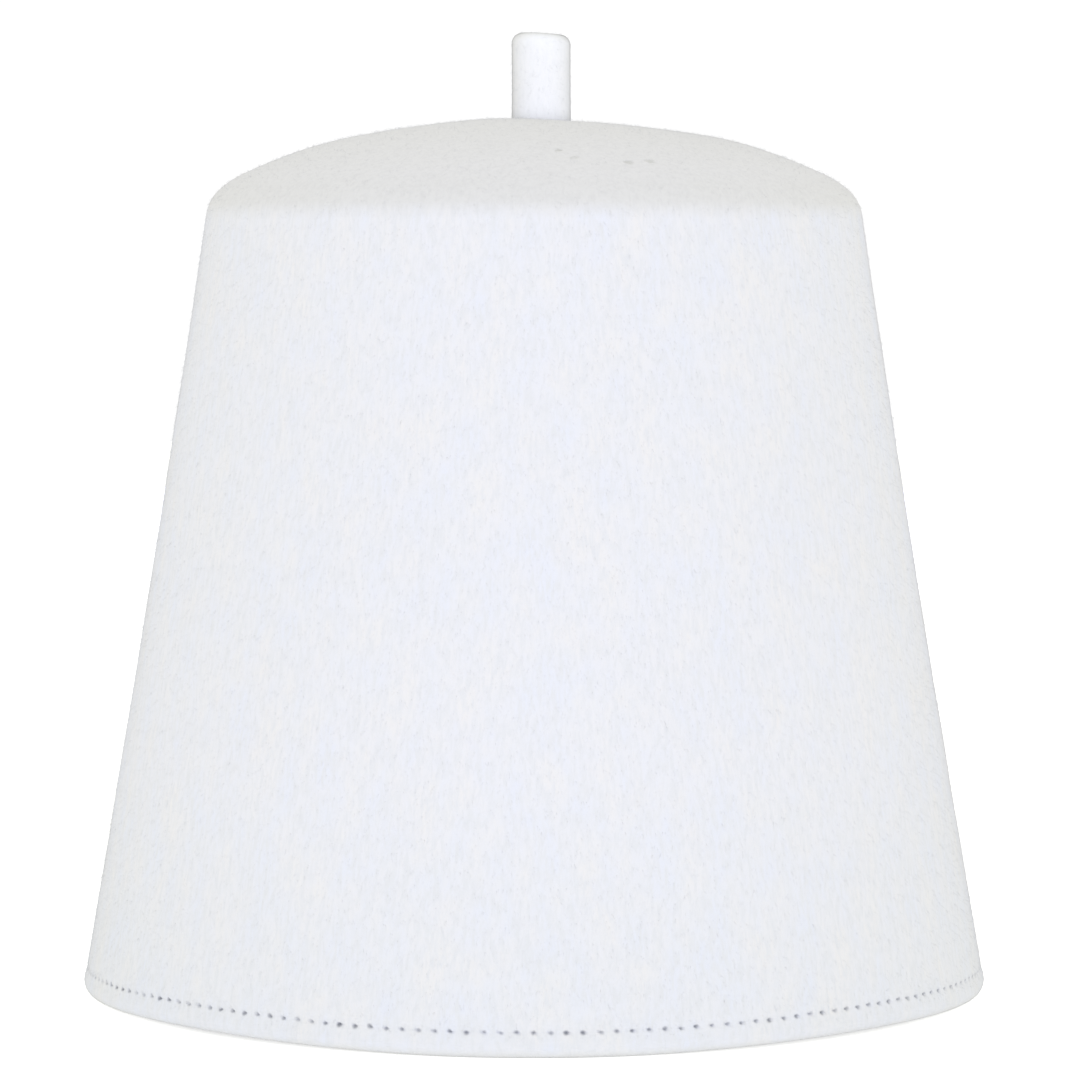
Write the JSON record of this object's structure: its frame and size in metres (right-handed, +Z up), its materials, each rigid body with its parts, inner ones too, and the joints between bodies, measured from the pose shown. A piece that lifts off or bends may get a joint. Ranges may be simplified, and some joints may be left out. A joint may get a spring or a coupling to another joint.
{
  "type": "fez hat",
  "caption": "Tall felt hat shaped like a cut-off cone, with a softly domed crown, a short felt stem in its middle and a turned-in, sewn lower edge.",
  "frame": {"origin": "centre of the hat's bounding box in plan, on the plane that its lower edge rests on", "axes": "+Z up through the crown, the hat's front faces -Y, +X is the wearer's left"},
  "size_m": [0.1778, 0.192, 0.189],
  "materials": {
    "white_wool_felt": "matte, fine felted fibres",
    "stem_felt": "matte, fine felted fibres"
  },
  "bodies": {
    "root": {"felt_cap": "white_wool_felt", "stem": "stem_felt"}
  },
  "joints": []
}
